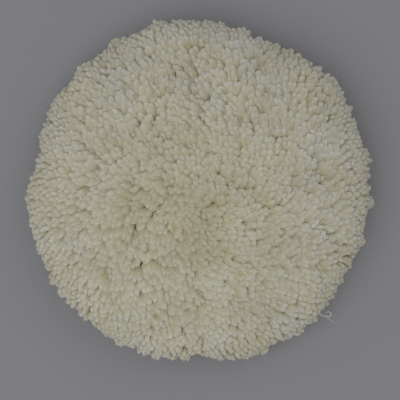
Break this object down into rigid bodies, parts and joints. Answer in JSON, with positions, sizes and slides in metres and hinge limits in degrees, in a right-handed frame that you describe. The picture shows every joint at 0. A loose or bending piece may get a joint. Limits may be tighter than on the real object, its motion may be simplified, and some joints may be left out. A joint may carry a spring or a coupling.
{
  "type": "polishing pad",
  "caption": "Round tufted wool polishing pad with a domed cut pile, a rolled edge and a recessed loop face that grips a polisher's backing plate.",
  "frame": {"origin": "on the surface the pad lies on, below the centre of the pad", "axes": "+Z is the pad's axis, from the loop face out through the pile; X and Y are any two directions across the round face"},
  "size_m": [0.2022, 0.2022, 0.0397],
  "materials": {
    "wool": "twisted wool yarn, cut and fluffy at the tips",
    "loop_fabric": "brushed loop fabric",
    "foam": "open-cell foam",
    "fibre": "pressed fibre sheet",
    "latex": "satin latex",
    "cloth": "plain-woven cotton",
    "binding": "twill tape",
    "thread": "twisted polyester sewing thread"
  },
  "bodies": {
    "root": {"loop_disc": "loop_fabric", "loop_stitch_outer": "thread", "loop_stitch_inner": "thread", "foam_cushion": "foam", "fibre_stiffener": "fibre", "latex_coat": "latex", "tufting_cloth": "cloth", "edge_binding": "binding", "binding_stitch": "thread", "pile_centre": "wool", "pile_row_01": "wool", "pile_row_02": "wool", "pile_row_03": "wool", "pile_row_04": "wool", "pile_row_05": "wool", "pile_row_06": "wool", "pile_row_07": "wool", "pile_row_08": "wool", "pile_row_09": "wool", "pile_row_10": "wool", "pile_row_11": "wool", "pile_row_12": "wool", "pile_row_13": "wool", "pile_row_14": "wool", "pile_row_15": "wool", "pile_row_16": "wool"}
  },
  "joints": []
}
